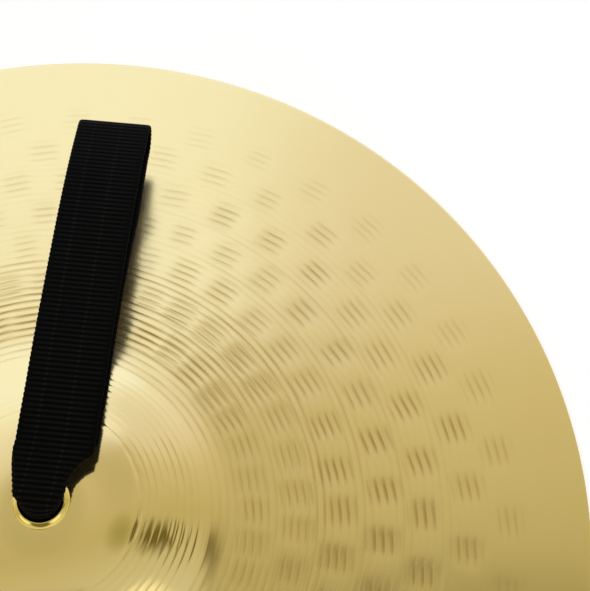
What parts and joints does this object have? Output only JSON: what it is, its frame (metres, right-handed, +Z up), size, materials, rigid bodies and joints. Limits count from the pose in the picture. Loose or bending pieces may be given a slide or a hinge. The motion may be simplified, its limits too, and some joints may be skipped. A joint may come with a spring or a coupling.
{
  "type": "clash cymbals",
  "caption": "Pair of domed bronze hand cymbals with raised bells, hammered bows, brass grommets and looped black webbing hand straps knotted under the bells.",
  "frame": {"origin": "on the surface that the pair lies on, midway between the two cymbals' axes", "axes": "+Z up out of the bells, +X from the left cymbal to the right one, +Y away from the viewer, the way the straps lie"},
  "size_m": [0.9146, 0.4572, 0.0628],
  "materials": {
    "cymbal_bronze": "lathed and hammered bronze, polished on the bell and satin towards the rim",
    "grommet_brass": "bright rolled brass",
    "black_webbing": "flat nylon webbing with fine cross ribs"
  },
  "bodies": {
    "right_cymbal": {"right_cymbal_plate": "cymbal_bronze", "right_grommet_eyelet": "grommet_brass", "right_grommet_washer": "grommet_brass"},
    "right_strap_base": {"right_strap_neck": "black_webbing", "right_strap_knot": "black_webbing", "right_strap_tail_outer": "black_webbing", "right_strap_tail_inner": "black_webbing"},
    "right_strap_hand_loop": {"right_strap_loop": "black_webbing"},
    "left_cymbal": {"left_cymbal_plate": "cymbal_bronze", "left_grommet_eyelet": "grommet_brass", "left_grommet_washer": "grommet_brass"},
    "left_strap_base": {"left_strap_neck": "black_webbing", "left_strap_knot": "black_webbing", "left_strap_tail_outer": "black_webbing", "left_strap_tail_inner": "black_webbing"},
    "left_strap_hand_loop": {"left_strap_loop": "black_webbing"}
  },
  "joints": [
    {"name": "right_strap_swivel", "type": "hinge", "parent": "right_cymbal", "child": "right_strap_base", "pos_m": [0.22875, 0, 0.05724], "axis": [0, 0, 1], "continuous": true},
    {"name": "right_strap_swing", "type": "hinge", "parent": "right_strap_base", "child": "right_strap_hand_loop", "pos_m": [0.22875, 0, 0.05724], "axis": [0.9956, -0.0941, 0], "range_deg": [0, 170]},
    {"name": "left_cymbal_lift", "type": "slide", "parent": "right_cymbal", "child": "left_cymbal", "axis": [0, 0, 1], "range_m": [0, 0.3]},
    {"name": "left_strap_swivel", "type": "hinge", "parent": "left_cymbal", "child": "left_strap_base", "pos_m": [-0.22875, 0, 0.05724], "axis": [0, 0, 1], "continuous": true},
    {"name": "left_strap_swing", "type": "hinge", "parent": "left_strap_base", "child": "left_strap_hand_loop", "pos_m": [-0.22875, 0, 0.05724], "axis": [0.9816, 0.1908, 0], "range_deg": [0, 170]}
  ]
}
